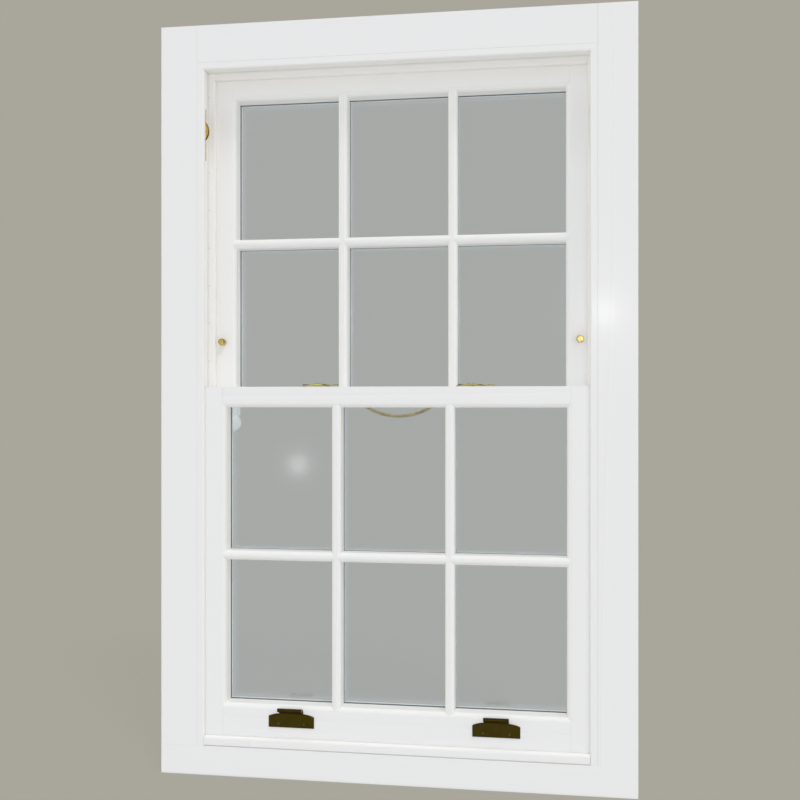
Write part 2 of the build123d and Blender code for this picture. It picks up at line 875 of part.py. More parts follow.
lower_upright_bars = upright_bars(
    lower_front, lower_sight_low, lower_sight_top, (lower_bottom_rail, lower_meeting_rail)
)
save(lower_upright_bars, "lower_upright_bars")
lower_cross_bars = cross_bars(lower_front, lower_middle_z, columns, (*lower_stiles, lower_upright_bars))
save(lower_cross_bars, "lower_cross_bars")

lower_daylights = daylights(lower_sight_low, lower_sight_top)
save(panes(lower_front, lower_daylights), "lower_panes")
save(spacers(lower_front, lower_daylights), "lower_pane_spacers")
save(glazing_beads(lower_front, lower_daylights), "lower_glazing_beads")


# Axle pulleys: faceplate with two cheeks, an axle pin across them and a grooved wheel
with BuildPart() as pulley_cases:
    for row, middle_y in cord_rows:
        with BuildSketch(pulley_face(middle_y)):
            RectangleRounded(pulley_plate_width, pulley_plate_height, pulley_plate_corner)
        extrude(amount=pulley_plate_thickness)
        for side in (-1, 1):
            cheek_y = middle_y + side * (cheek_inner + cheek_outer) / 2
            block(
                (
                    -axle_x - pulley_cheek_reach,
                    cheek_y - pulley_cheek_thickness / 2,
                    pulley_height - pulley_cheek_height / 2,
                ),
                (
                    -half_opening,
                    cheek_y + pulley_cheek_thickness / 2,
                    pulley_height + pulley_cheek_height / 2,
                ),
            )
        block(
            (-half_opening - pulley_plate_thickness, middle_y - cheek_inner, pulley_height - slot_height / 2),
            (-half_opening, middle_y + cheek_inner, pulley_height + slot_height / 2),
            Mode.SUBTRACT,
        )
        with BuildSketch(elevation(middle_y)):
            with Locations((-axle_x, pulley_height)):
                Circle(axle_diameter / 2 + axle_clearance)
        extrude(amount=cheek_outer, both=True, mode=Mode.SUBTRACT)
    mirror(about=Plane.YZ)
save(pulley_cases, "pulley_cases")

with BuildPart() as pulley_axle_pins:
    for row, middle_y in cord_rows:
        with BuildSketch(elevation(middle_y)):
            with Locations((-axle_x, pulley_height)):
                Circle(axle_diameter / 2)
        extrude(amount=cheek_outer, both=True)
    mirror(about=Plane.YZ)
save(pulley_axle_pins, "pulley_axle_pins")

cord_bed = cord_radius + cord_seat_gap
groove_facet = cord_bed * math.tan(math.radians(quarter_turn / 4))
for row, middle_y in cord_rows:
    with BuildPart() as wheel:
        wheel_plane = Plane(origin=(-axle_x, middle_y, pulley_height), x_dir=(1, 0, 0), z_dir=(0, 0, 1))
        bore_radius = axle_diameter / 2 + axle_clearance
        with BuildSketch(wheel_plane):
            with BuildLine():
                Polyline(
                    (wheel_radius, -cord_bed),
                    (cord_turn_radius - groove_facet, -cord_bed),
                    (cord_turn_radius - cord_bed, -groove_facet),
                    (cord_turn_radius - cord_bed, groove_facet),
                    (cord_turn_radius - groove_facet, cord_bed),
                    (wheel_radius, cord_bed),
                    (wheel_radius, pulley_wheel_width / 2),
                    (bore_radius, pulley_wheel_width / 2),
                    (bore_radius, -pulley_wheel_width / 2),
                    (wheel_radius, -pulley_wheel_width / 2),
                    close=True,
                )
            make_face()
        revolve(axis=Axis((-axle_x, middle_y, pulley_height), (0, 1, 0)))
    save(wheel, f"{row}_pulley_wheel_left")
    save(mirrored(wheel), f"{row}_pulley_wheel_right")


# Sash weights in the boxes, with an eye in the top for a cord
def sash_weight(middle_y, top, length):
    """Left weight, a bevelled cast bar hanging under the outer side of its pulley."""
    half_x = weight_x - stile_back_x - weight_box_clearance
    half_y = weight_depth / 2
    with BuildPart() as weight:
        block(
            (-weight_x - half_x, middle_y - half_y, top - length),
            (-weight_x + half_x, middle_y + half_y, top),
        )
        chamfer(weight.edges().filter_by(Axis.Z), weight_corner_bevel)
        chamfer(weight.faces().sort_by(Axis.Z)[-1].edges(), weight_corner_bevel)
        with BuildSketch(Plane.XY.offset(top)):
            with Locations((-weight_x, middle_y)):
                Circle(cord_radius + cord_seat_gap)
        extrude(amount=-weight_eye_depth, mode=Mode.SUBTRACT)
    return weight


weight_rows = (
    ("lower", lower_cord_y, lower_weight_top, lower_weight_length),
    ("upper", upper_middle, upper_weight_top, upper_weight_length),
)
for row, middle_y, top, length in weight_rows:
    weight = sash_weight(middle_y, top, length)
    save(weight, f"{row}_weight_left")
    save(mirrored(weight), f"{row}_weight_right")


# Hook lifts: a shouldered plate whose middle rolls forward into a finger hook with a thick lip
lift_foot_z = seat_z + lift_rise
shoulder_z = lift_foot_z + lift_shoulder_height
hook_z = lift_foot_z + lift_hook_height - lift_hook_radius
hook_y = lower_front - lift_hook_radius
with BuildPart() as sash_lift_left:
    lift_x = -lift_spacing / 2
    with BuildSketch(elevation(lower_front)):
        with BuildLine():
            Polyline(
                (lift_x - lift_width / 2, lift_foot_z + lift_side_height),
                (lift_x - lift_width / 2, lift_foot_z),
                (lift_x + lift_width / 2, lift_foot_z),
                (lift_x + lift_width / 2, lift_foot_z + lift_side_height),
            )
            right = SagittaArc(
                (lift_x + lift_width / 2, lift_foot_z + lift_side_height),
                (lift_x + lift_hook_width / 2, shoulder_z),
                -lift_shoulder_bulge,
            )
            left = SagittaArc(
                (lift_x - lift_hook_width / 2, shoulder_z),
                (lift_x - lift_width / 2, lift_foot_z + lift_side_height),
                -lift_shoulder_bulge,
            )
            Line(right @ 1, left @ 0)
        make_face()
    extrude(amount=lift_plate_thickness)
    chamfer(sash_lift_left.edges().group_by(Axis.Y)[0], lift_edge_bevel)
    with BuildSketch(section(lift_x)):
        with Locations((hook_y, hook_z)):
            Circle(lift_hook_radius)
            Circle(lift_hook_radius - lift_plate_thickness, mode=Mode.SUBTRACT)
            Rectangle(lift_hook_radius, lift_hook_radius, align=(Align.MIN, Align.MIN), mode=Mode.INTERSECT)
        with Locations((hook_y, hook_z + lift_hook_radius - lift_lip_diameter / 2)):
            Circle(lift_lip_diameter / 2)
    extrude(amount=lift_hook_width / 2, both=True)
save(sash_lift_left, "sash_lift_left")
save(mirrored(sash_lift_left), "sash_lift_right")


# Cam fasteners: bases and pivot posts on the lower sash, levers, and hooked keeps on the upper sash
pivot_y = lower_front + fastener_pivot_inset
base_top = meeting_rail_top + fastener_base_thickness
hub_foot = base_top + fastener_play
hub_top = hub_foot + lever_hub_height
with BuildPart() as fastener_bases:
    for pivot_x in (fastener_left_x, fastener_right_x):
        with BuildSketch(Plane.XY.offset(meeting_rail_top)):
            with Locations((pivot_x, pivot_y)):
                SlotOverall(fastener_base_length, fastener_base_width)
        extrude(amount=fastener_base_thickness)
        with BuildSketch(Plane.XY.offset(base_top)):
            with Locations((pivot_x, pivot_y)):
                Circle(fastener_post_diameter / 2)
        extrude(amount=hub_top + fastener_play - base_top)
        with BuildSketch(Plane.XY.offset(hub_top + fastener_play)):
            with Locations((pivot_x, pivot_y)):
                Circle(fastener_cap_diameter / 2)
        extrude(amount=fastener_cap_height)
save(fastener_bases, "fastener_bases")


def fastener_lever(pivot_x):
    """Lever with its thumb arm to the right and its cam over the rail towards the room."""
    cam_foot = base_top + cam_lift
    with BuildPart() as lever:
        with BuildSketch(Plane.XY.offset(hub_foot)):
            with Locations((pivot_x, pivot_y)):
                Circle(lever_hub_diameter / 2)
        extrude(amount=lever_hub_height)
        with BuildSketch(Plane.XY.offset(hub_foot)):
            with BuildLine():
                Polyline(
                    (pivot_x, pivot_y - lever_arm_width / 2),
                    (pivot_x + lever_arm_length - lever_knob_diameter / 2, pivot_y - lever_arm_end_width / 2),
                    (pivot_x + lever_arm_length - lever_knob_diameter / 2, pivot_y + lever_arm_end_width / 2),
                    (pivot_x, pivot_y + lever_arm_width / 2),
                    close=True,
                )
            make_face()
        extrude(amount=lever_arm_height)
        with BuildSketch(Plane.XY.offset(hub_foot)):
            with Locations((pivot_x + lever_arm_length - lever_knob_diameter / 2, pivot_y)):
                Circle(lever_knob_diameter / 2)
        extrude(amount=lever_knob_height)
        with BuildSketch(Plane.XY.offset(cam_foot)):
            with BuildLine():
                rim = CenterArc(
                    (pivot_x, pivot_y), cam_radius, -quarter_turn - cam_angle / 2, cam_angle
                )
                Polyline(rim @ 1, (pivot_x, pivot_y), rim @ 0)
            make_face()
        extrude(amount=cam_thickness)
        with BuildSketch(Plane.XY.offset(hub_foot)):
            with Locations((pivot_x, pivot_y)):
                Circle(fastener_post_diameter / 2 + lever_bore_clearance)
        extrude(amount=lever_hub_height, mode=Mode.SUBTRACT)
    return lever


save(fastener_lever(fastener_left_x), "fastener_lever_left")
save(fastener_lever(fastener_right_x), "fastener_lever_right")

keep_front = upper_front + keep_front_gap
keep_wall_y = pivot_y + cam_radius + keep_wall_gap
cam_top = base_top + cam_lift + cam_thickness
keep_lip_foot = cam_top + keep_lip_gap
with BuildPart() as fastener_keeps:
    for pivot_x in (fastener_left_x, fastener_right_x):
        with BuildSketch(section(pivot_x)):
            with BuildLine():
                Polyline(
                    (keep_front, meeting_rail_top),
                    (keep_front + keep_plate_depth, meeting_rail_top),
                    (keep_front + keep_plate_depth, meeting_rail_top + keep_plate_thickness),
                    (keep_wall_y + keep_wall_thickness, meeting_rail_top + keep_plate_thickness),
                    (keep_wall_y + keep_wall_thickness, keep_lip_foot + keep_lip_thickness),
                    (keep_wall_y - keep_lip_reach, keep_lip_foot + keep_lip_thickness),
                    (keep_wall_y - keep_lip_reach, keep_lip_foot),
                    (keep_wall_y, keep_lip_foot),
                    (keep_wall_y, meeting_rail_top + keep_plate_thickness),
                    (keep_front, meeting_rail_top + keep_plate_thickness),
                    close=True,
                )
            make_face()
        extrude(amount=keep_width / 2, both=True)
save(fastener_keeps, "fastener_keeps")


# D handle: a bow of round rod on two feet under the upper meeting rail
with BuildPart() as d_handle:
    half_span = handle_span / 2
    bow_low = meeting_rail_foot - handle_drop + handle_rod_diameter / 2
    with BuildLine(elevation(upper_middle)) as bow:
        ThreePointArc((-half_span, meeting_rail_foot), (0, bow_low), (half_span, meeting_rail_foot))
    with BuildSketch(Plane(origin=bow.line @ 0, z_dir=bow.line % 0)):
        Circle(handle_rod_diameter / 2)
    sweep(path=bow.line)
    with BuildSketch(Plane.XY.offset(meeting_rail_foot)):
        with Locations((-half_span, upper_middle), (half_span, upper_middle)):
            Circle(handle_foot_diameter / 2)
    extrude(amount=-handle_foot_thickness)
    split(bisect_by=Plane.XY.offset(meeting_rail_foot), keep=Keep.BOTTOM)
save(d_handle, "d_handle")


# Sash stops: a round head on a shank, screwed into a bush let into each upper stile
stop_x = -sash_half + sash_stile_width / 2
with BuildPart() as sash_stop_left:
    with BuildSketch(elevation(upper_front)):
        with Locations((stop_x, stop_height)):
            Circle(stop_head_diameter / 2)
    extrude(amount=stop_head_length)
    chamfer(sash_stop_left.edges().group_by(Axis.Y)[0], stop_head_bevel)
    with BuildSketch(elevation(upper_front)):
        with Locations((stop_x, stop_height)):
            Circle(stop_shank_diameter / 2)
    extrude(amount=-stop_shank_length)
save(sash_stop_left, "sash_stop_left")
save(mirrored(sash_stop_left), "sash_stop_right")

with BuildPart() as stop_bushes:
    with BuildSketch(elevation(upper_front)):
        with Locations((stop_x, stop_height)):
            Circle(stop_bush_diameter / 2)
            Circle(stop_shank_diameter / 2 + stop_clearance, mode=Mode.SUBTRACT)
    extrude(amount=-stop_bush_length)
    mirror(about=Plane.YZ)
save(stop_bushes, "stop_bushes")
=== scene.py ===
import json
import logging
import math
from collections.abc import Sequence
from dataclasses import dataclass
from enum import Enum

import bpy
from mathutils import Matrix, Vector


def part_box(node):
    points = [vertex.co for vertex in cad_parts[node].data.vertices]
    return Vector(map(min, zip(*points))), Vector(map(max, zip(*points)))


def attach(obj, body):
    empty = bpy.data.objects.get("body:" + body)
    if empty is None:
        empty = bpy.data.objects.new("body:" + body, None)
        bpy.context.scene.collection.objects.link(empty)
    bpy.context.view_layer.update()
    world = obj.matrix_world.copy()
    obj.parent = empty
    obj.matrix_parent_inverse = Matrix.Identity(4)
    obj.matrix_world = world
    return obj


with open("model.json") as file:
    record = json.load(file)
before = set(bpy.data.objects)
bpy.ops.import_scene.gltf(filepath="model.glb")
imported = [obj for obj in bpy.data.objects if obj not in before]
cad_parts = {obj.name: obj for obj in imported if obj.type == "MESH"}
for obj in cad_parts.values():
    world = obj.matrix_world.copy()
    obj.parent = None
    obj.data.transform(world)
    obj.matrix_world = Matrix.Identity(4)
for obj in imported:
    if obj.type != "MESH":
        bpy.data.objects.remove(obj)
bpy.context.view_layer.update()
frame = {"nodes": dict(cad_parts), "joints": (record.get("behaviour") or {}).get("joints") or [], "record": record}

LOG = logging.getLogger("sash_window")
SMOOTH_ANGLE = math.radians(35.0)

Colour = tuple[float, float, float]
Place = tuple[float, float, float]


class Grain(Enum):
    """Which way the brush marks of a painted member run, as a stretch of its coordinates."""

    UPRIGHT = (1.0, 1.0, 0.035)
    LEVEL = (0.035, 1.0, 1.0)


class Facing(Enum):
    """Which way a screw or pin head looks, as the direction out of the surface that it is driven into."""

    ROOM = (0.0, -1.0, 0.0)
    UP = (0.0, 0.0, 1.0)
    RIGHT = (1.0, 0.0, 0.0)
    LEFT = (-1.0, 0.0, 0.0)


class Graph:
    """A node tree, with short ways to add nodes and join their sockets."""

    def __init__(self, tree: bpy.types.NodeTree) -> None:
        """Keep the tree that the nodes go into."""
        self.tree = tree

    def add(self, kind: str, inputs: dict[str, object] | None = None, **settings: object) -> bpy.types.Node:
        """Add one node with its settings and its unlinked inputs.

        Args:
            kind: The node's type name.
            inputs: Values of its input sockets, by the sockets' names.
            settings: The node's own properties.

        Returns:
            The new node.
        """
        node = self.tree.nodes.new(kind)
        for name, value in settings.items():
            setattr(node, name, value)
        for name, value in (inputs or {}).items():
            node.inputs[name].default_value = value
        return node

    def link(self, source: bpy.types.NodeSocket, target: bpy.types.NodeSocket) -> None:
        """Join an output socket to an input socket."""
        self.tree.links.new(source, target)

    def maths(
        self, operation: str, first: bpy.types.NodeSocket, second: bpy.types.NodeSocket
    ) -> bpy.types.NodeSocket:
        """Combine two values.

        Args:
            operation: The sum to do, such as ADD or MAXIMUM.
            first: The first value's socket.
            second: The second value's socket.

        Returns:
            The socket with the result.
        """
        node = self.add("ShaderNodeMath", operation=operation)
        self.link(first, node.inputs[0])
        self.link(second, node.inputs[1])
        return node.outputs[0]

    def spread(self, value: bpy.types.NodeSocket, low: float, high: float) -> bpy.types.NodeSocket:
        """Spread a mask that runs from 0 to 1 over another range.

        Args:
            value: The mask's socket.
            low: Result where the mask is 0.
            high: Result where the mask is 1.

        Returns:
            The socket with the spread value.
        """
        node = self.add("ShaderNodeMapRange", {"To Min": low, "To Max": high})
        self.link(value, node.inputs["Value"])
        return node.outputs["Result"]

    def blend(self, mask: bpy.types.NodeSocket, first: Colour, second: Colour) -> bpy.types.NodeSocket:
        """Blend two colours by a mask.

        Args:
            mask: Socket that is 0 for the first colour and 1 for the second.
            first: Colour at 0.
            second: Colour at 1.

        Returns:
            The socket with the blended colour.
        """
        node = self.add("ShaderNodeMix", data_type="RGBA")
        start, end = (socket for socket in node.inputs if socket.type == "RGBA")
        start.default_value = (*first, 1.0)
        end.default_value = (*second, 1.0)
        self.link(mask, node.inputs["Factor"])
        return next(socket for socket in node.outputs if socket.type == "RGBA")

    def mix_shaders(
        self, mask: bpy.types.NodeSocket | float, first: bpy.types.Node, second: bpy.types.Node
    ) -> bpy.types.Node:
        """Mix two shaders by a mask.

        Args:
            mask: Socket that is 0 for the first shader and 1 for the second, or one share for all of it.
            first: Shader node at 0.
            second: Shader node at 1.

        Returns:
            The mixing node.
        """
        node = self.add("ShaderNodeMixShader")
        if isinstance(mask, float):
            node.inputs["Fac"].default_value = mask
        else:
            self.link(mask, node.inputs["Fac"])
        self.link(first.outputs[0], node.inputs[1])
        self.link(second.outputs[0], node.inputs[2])
        return node


class SurfaceGroups:
    """Shader node groups that several finishes share, each built once."""

    BRUSH = "brush_marks"
    MOTTLE = "metal_mottle"
    PAINTED_SEAMS = "seam_shade"
    PAINTED_SHADE_SAMPLES = 12

    @staticmethod
    def _start(name: str, values: dict[str, float], results: Sequence[str], placed: bool = True) -> Graph:
        """Open a new group.

        Args:
            name: The group's name.
            values: Number inputs with their defaults.
            results: Names of its number outputs.
            placed: Whether the group reads coordinates, from a Vector input.

        Returns:
            The group's graph, with its input and output nodes in place.
        """
        tree = bpy.data.node_groups.new(name, "ShaderNodeTree")
        if placed:
            tree.interface.new_socket("Vector", in_out="INPUT", socket_type="NodeSocketVector")
        for label, value in values.items():
            socket = tree.interface.new_socket(label, in_out="INPUT", socket_type="NodeSocketFloat")
            socket.default_value = value
        for label in results:
            tree.interface.new_socket(label, in_out="OUTPUT", socket_type="NodeSocketFloat")
        graph = Graph(tree)
        graph.add("NodeGroupInput", name="in")
        graph.add("NodeGroupOutput", name="out")
        return graph

    @classmethod
    def seam_shade(cls) -> bpy.types.NodeTree:
        """Painted shade: darkening of the colour in seams, gaps and inner corners, where shade falls.

        Returns:
            A group whose Open is 1 on free faces and falls in seams.
        """
        if cls.PAINTED_SEAMS in bpy.data.node_groups:
            return bpy.data.node_groups[cls.PAINTED_SEAMS]
        graph = cls._start(cls.PAINTED_SEAMS, {"Reach": 0.006}, ("Open",), placed=False)
        source, result = graph.tree.nodes["in"], graph.tree.nodes["out"]
        # Painted shade: ambient occlusion finds seams, gaps and inner corners, where the colour is darkened.
        corner = graph.add("ShaderNodeAmbientOcclusion", samples=cls.PAINTED_SHADE_SAMPLES)
        graph.link(source.outputs["Reach"], corner.inputs["Distance"])
        graph.link(corner.outputs["AO"], result.inputs["Open"])
        return graph.tree

    @classmethod
    def brush_marks(cls) -> bpy.types.NodeTree:
        """Strokes left by a paint brush, with a slow change of tone.

        Returns:
            A group whose Height holds the strokes and whose Tone holds the slow change.
        """
        if cls.BRUSH in bpy.data.node_groups:
            return bpy.data.node_groups[cls.BRUSH]
        graph = cls._start(cls.BRUSH, {"Strokes": 420.0, "Cloud": 9.0}, ("Height", "Tone"))
        source, result = graph.tree.nodes["in"], graph.tree.nodes["out"]
        strokes = graph.add("ShaderNodeTexNoise", {"Detail": 4.0, "Roughness": 0.6})
        cloud = graph.add("ShaderNodeTexNoise", {"Detail": 2.0, "Roughness": 0.5})
        for noise, scale, label in ((strokes, "Strokes", "Height"), (cloud, "Cloud", "Tone")):
            graph.link(source.outputs["Vector"], noise.inputs["Vector"])
            graph.link(source.outputs[scale], noise.inputs["Scale"])
            graph.link(noise.outputs["Fac"], result.inputs[label])
        return graph.tree

    @classmethod
    def metal_mottle(cls) -> bpy.types.NodeTree:
        """Patches of tarnish and fine handling marks on metal.

        Returns:
            A group whose Patch holds the tarnish and whose Fine holds the handling marks.
        """
        if cls.MOTTLE in bpy.data.node_groups:
            return bpy.data.node_groups[cls.MOTTLE]
        graph = cls._start(cls.MOTTLE, {"Patches": 60.0, "Marks": 900.0}, ("Patch", "Fine"))
        source, result = graph.tree.nodes["in"], graph.tree.nodes["out"]
        patches = graph.add("ShaderNodeTexNoise", {"Detail": 5.0, "Roughness": 0.65, "Distortion": 0.4})
        marks = graph.add("ShaderNodeTexNoise", {"Detail": 3.0, "Roughness": 0.7})
        for noise, scale, label in ((patches, "Patches", "Patch"), (marks, "Marks", "Fine")):
            graph.link(source.outputs["Vector"], noise.inputs["Vector"])
            graph.link(source.outputs[scale], noise.inputs["Scale"])
            graph.link(noise.outputs["Fac"], result.inputs[label])
        return graph.tree


def add_painted_shade(graph: Graph, reach: float) -> bpy.types.NodeSocket:
    """Place the shared painted shade of seams and inner corners in a material.

    Args:
        graph: The material's graph.
        reach: How far the painted shade runs out from seams and inner corners.

    Returns:
        The socket that is 1 in the open and falls towards 0 in seams and inner corners.
    """
    node = graph.add("ShaderNodeGroup", node_tree=SurfaceGroups.seam_shade())
    node.inputs["Reach"].default_value = reach
    return node.outputs["Open"]


def new_material(name: str) -> tuple[bpy.types.Material, Graph, bpy.types.Node, bpy.types.Node]:
    """Start a material with a surface shader and object coordinates.

    Args:
        name: The material's name.

    Returns:
        The material, its graph, its surface shader and its coordinate node.
    """
    material = bpy.data.materials.new(name)
    material.use_nodes = True
    graph = Graph(material.node_tree)
    return material, graph, material.node_tree.nodes["Principled BSDF"], graph.add("ShaderNodeTexCoord")


def place_group(
    graph: Graph, tree: bpy.types.NodeTree, vector: bpy.types.NodeSocket, **values: float
) -> bpy.types.Node:
    """Place a shared group in a material.

    Args:
        graph: The material's graph.
        tree: The group.
        vector: Coordinates for the group.
        values: The group's own values here, by the names of its inputs.

    Returns:
        The group node.
    """
    node = graph.add("ShaderNodeGroup", node_tree=tree)
    graph.link(vector, node.inputs["Vector"])
    for name, value in values.items():
        node.inputs[name].default_value = value
    return node


def raise_bumps(graph: Graph, shader: bpy.types.Node, height: bpy.types.NodeSocket, depth: float) -> None:
    """Turn a height into the shader's surface bumps.

    Args:
        graph: The material's graph.
        shader: The surface shader.
        height: Socket with the height, from 0 to 1.
        depth: How deep the bumps are.
    """
    bump = graph.add("ShaderNodeBump", {"Strength": 1.0, "Distance": depth})
    graph.link(height, bump.inputs["Height"])
    graph.link(bump.outputs["Normal"], shader.inputs["Normal"])


@dataclass(frozen=True)
class PaintFinish:
    """Satin white paint, brushed out along a member, with painted shade in its seams and inner corners."""

    name: str
    grain: Grain
    bright: Colour = (0.812, 0.801, 0.774)
    # Colour of the painted shade in seams and inner corners, and how far that painted shade reaches.
    painted_shade_colour: Colour = (0.57, 0.56, 0.53)
    painted_shade_reach: float = 0.005
    tone_share: tuple[float, float] = (0.955, 1.0)
    roughness: tuple[float, float] = (0.24, 0.32)
    stroke_depth: float = 0.00003
    coat: float = 0.26
    coat_roughness: float = 0.13

    def material(self) -> bpy.types.Material:
        """Build the paint's material.

        Returns:
            The material, with brush marks along the member and painted shade in its seams.
        """
        material, graph, shader, where = new_material(self.name)
        stretch = graph.add("ShaderNodeMapping", {"Scale": self.grain.value})
        graph.link(where.outputs["Object"], stretch.inputs["Vector"])
        marks = place_group(graph, SurfaceGroups.brush_marks(), stretch.outputs["Vector"])
        tone = graph.spread(marks.outputs["Tone"], *self.tone_share)
        # Painted shade: the colour darkens from the paint's own towards the shade colour where ambient occlusion
        # finds seams and corners.
        light = graph.maths("MULTIPLY", tone, add_painted_shade(graph, self.painted_shade_reach))
        graph.link(graph.blend(light, self.painted_shade_colour, self.bright), shader.inputs["Base Color"])
        graph.link(graph.spread(marks.outputs["Tone"], *self.roughness), shader.inputs["Roughness"])
        raise_bumps(graph, shader, marks.outputs["Height"], self.stroke_depth)
        shader.inputs["Coat Weight"].default_value = self.coat
        shader.inputs["Coat Roughness"].default_value = self.coat_roughness
        return material


@dataclass(frozen=True)
class GlassFinish:
    """Clear float glass with a faint cool tint, which lets light through to the joinery round it."""

    name: str
    tint: Colour = (0.960, 0.985, 0.995)
    index: float = 1.5
    ripple_size: float = 7.0
    ripple_depth: float = 0.00002
    roughness: float = 0.095

    def material(self) -> bpy.types.Material:
        """Build the glass material.

        Returns:
            The material, softly mirroring on its outer faces and clear within.
        """
        material, graph, shader, where = new_material(self.name)
        shader.inputs["Base Color"].default_value = (*self.tint, 1.0)
        shader.inputs["Transmission Weight"].default_value = 1.0
        shader.inputs["IOR"].default_value = self.index
        side = graph.add("ShaderNodeNewGeometry")
        graph.link(graph.spread(side.outputs["Backfacing"], self.roughness, 0.0), shader.inputs["Roughness"])
        ripple = graph.add("ShaderNodeTexNoise", {"Scale": self.ripple_size, "Detail": 1.0})
        graph.link(where.outputs["Object"], ripple.inputs["Vector"])
        raise_bumps(graph, shader, ripple.outputs["Fac"], self.ripple_depth)
        clear = graph.add("ShaderNodeBsdfTransparent", {"Color": (*self.tint, 1.0)})
        ray = graph.add("ShaderNodeLightPath")
        lighting = graph.maths("MAXIMUM", ray.outputs["Is Shadow Ray"], ray.outputs["Is Diffuse Ray"])
        surface = graph.mix_shaders(lighting, shader, clear)
        graph.link(surface.outputs[0], material.node_tree.nodes["Material Output"].inputs["Surface"])
        return material


@dataclass(frozen=True)
class MetalFinish:
    """A solid metal with patches of tarnish and fine handling marks."""

    name: str
    bright: Colour
    tarnish: Colour
    roughness: tuple[float, float]
    metallic: float = 1.0
    patches: float = 60.0
    marks: float = 900.0
    mark_depth: float = 0.00001
    patch_edge: tuple[float, float] = (0.0, 1.0)

    def material(self) -> bpy.types.Material:
        """Build the metal's material.

        Returns:
            The material, with its tarnish in patches.
        """
        material, graph, shader, where = new_material(self.name)
        scales = {"Patches": self.patches, "Marks": self.marks}
        mottle = place_group(graph, SurfaceGroups.metal_mottle(), where.outputs["Object"], **scales)
        edge_low, edge_high = self.patch_edge
        patch = graph.add("ShaderNodeMapRange", {"From Min": edge_low, "From Max": edge_high})
        graph.link(mottle.outputs["Patch"], patch.inputs["Value"])
        stain = patch.outputs["Result"]
        graph.link(graph.blend(stain, self.bright, self.tarnish), shader.inputs["Base Color"])
        graph.link(graph.spread(stain, *self.roughness), shader.inputs["Roughness"])
        raise_bumps(graph, shader, mottle.outputs["Fine"], self.mark_depth)
        shader.inputs["Metallic"].default_value = self.metallic
        return material


@dataclass(frozen=True)
class TimberFinish:
    """Planed softwood left bare inside the boxes."""

    name: str
    early: Colour = (0.60, 0.42, 0.24)
    late: Colour = (0.42, 0.26, 0.13)
    ring_scale: float = 55.0
    ring_stretch: Place = (1.0, 1.0, 0.06)
    depth: float = 0.0001
    roughness: float = 0.62

    def material(self) -> bpy.types.Material:
        """Build the timber's material.

        Returns:
            The material, with the grain running up the piece.
        """
        material, graph, shader, where = new_material(self.name)
        stretch = graph.add("ShaderNodeMapping", {"Scale": self.ring_stretch})
        rings = graph.add("ShaderNodeTexWave", {"Scale": self.ring_scale, "Distortion": 6.0, "Detail": 3.0})
        graph.link(where.outputs["Object"], stretch.inputs["Vector"])
        graph.link(stretch.outputs["Vector"], rings.inputs["Vector"])
        graph.link(graph.blend(rings.outputs["Fac"], self.early, self.late), shader.inputs["Base Color"])
        raise_bumps(graph, shader, rings.outputs["Fac"], self.depth)
        shader.inputs["Roughness"].default_value = self.roughness
        return material


UPRIGHT_PAINT = PaintFinish("white_paint_upright", Grain.UPRIGHT)
LEVEL_PAINT = PaintFinish("white_paint_level", Grain.LEVEL)
# Sash paint gets lighter painted shade in its seams, reaching only 2 mm, so that faces beside the panes are not
# darkened.
SASH_PAINTED_SHADE_COLOUR: Colour = (0.72, 0.71, 0.68)
SASH_PAINTED_SHADE_REACH = 0.002
SASH_UPRIGHT_PAINT = PaintFinish("sash_paint_upright", Grain.UPRIGHT, painted_shade_colour=SASH_PAINTED_SHADE_COLOUR, painted_shade_reach=SASH_PAINTED_SHADE_REACH)
SASH_LEVEL_PAINT = PaintFinish("sash_paint_level", Grain.LEVEL, painted_shade_colour=SASH_PAINTED_SHADE_COLOUR, painted_shade_reach=SASH_PAINTED_SHADE_REACH)
PANE_GLASS = GlassFinish("pane_glass")
POLISHED_BRASS = MetalFinish(
    "polished_brass",
    (0.82, 0.60, 0.16),
    (0.30, 0.19, 0.03),
    (0.10, 0.22),
    patches=110.0,
    patch_edge=(0.35, 0.72),
)
BRONZED_BRASS = MetalFinish("bronzed_brass", (0.080, 0.044, 0.004), (0.046, 0.024, 0.002), (0.28, 0.42))
WORN_BRONZE = MetalFinish("worn_bronze", (0.16, 0.10, 0.02), (0.08, 0.05, 0.01), (0.30, 0.45))
TURNED_STEEL = MetalFinish("turned_steel", (0.56, 0.56, 0.57), (0.40, 0.39, 0.38), (0.28, 0.42))
CAST_IRON = MetalFinish(
    "cast_iron",
    (0.060, 0.058, 0.056),
    (0.110, 0.060, 0.035),
    (0.55, 0.80),
    metallic=0.6,
    patches=35.0,
    marks=400.0,
    mark_depth=0.0003,
)
# The spacer bars' dark grey is partly their own colour and partly painted shade, darkened to stand for the shade
# along the pane edges.
SPACER_BAR_PAINTED_SHADE = MetalFinish("spacer_bar", (0.085, 0.092, 0.115), (0.065, 0.07, 0.09), (0.38, 0.48), metallic=0.3)
PIN_PAINT = MetalFinish("painted_pin", (0.70, 0.70, 0.69), (0.58, 0.58, 0.57), (0.35, 0.45), metallic=0.0)
BARE_TIMBER = TimberFinish("bare_timber")

Finish = PaintFinish | GlassFinish | MetalFinish | TimberFinish


class Palette:
    """Hands out each finish's material, built on first use."""

    _made: dict[str, bpy.types.Material] = {}

    @classmethod
    def give(cls, piece: bpy.types.Object, finish: Finish) -> None:
        """Put a finish on every face of a piece.

        Args:
            piece: The mesh object.
            finish: The finish that it gets.
        """
        if finish.name not in cls._made:
            cls._made[finish.name] = finish.material()
        piece.data.materials.clear()
        piece.data.materials.append(cls._made[finish.name])
        for face in piece.data.polygons:
            face.material_index = 0


def clear_selection() -> None:
    """Leave nothing selected and no object in edit mode."""
    if bpy.context.mode != "OBJECT":
        bpy.ops.object.mode_set(mode="OBJECT")
    bpy.ops.object.select_all(action="DESELECT")


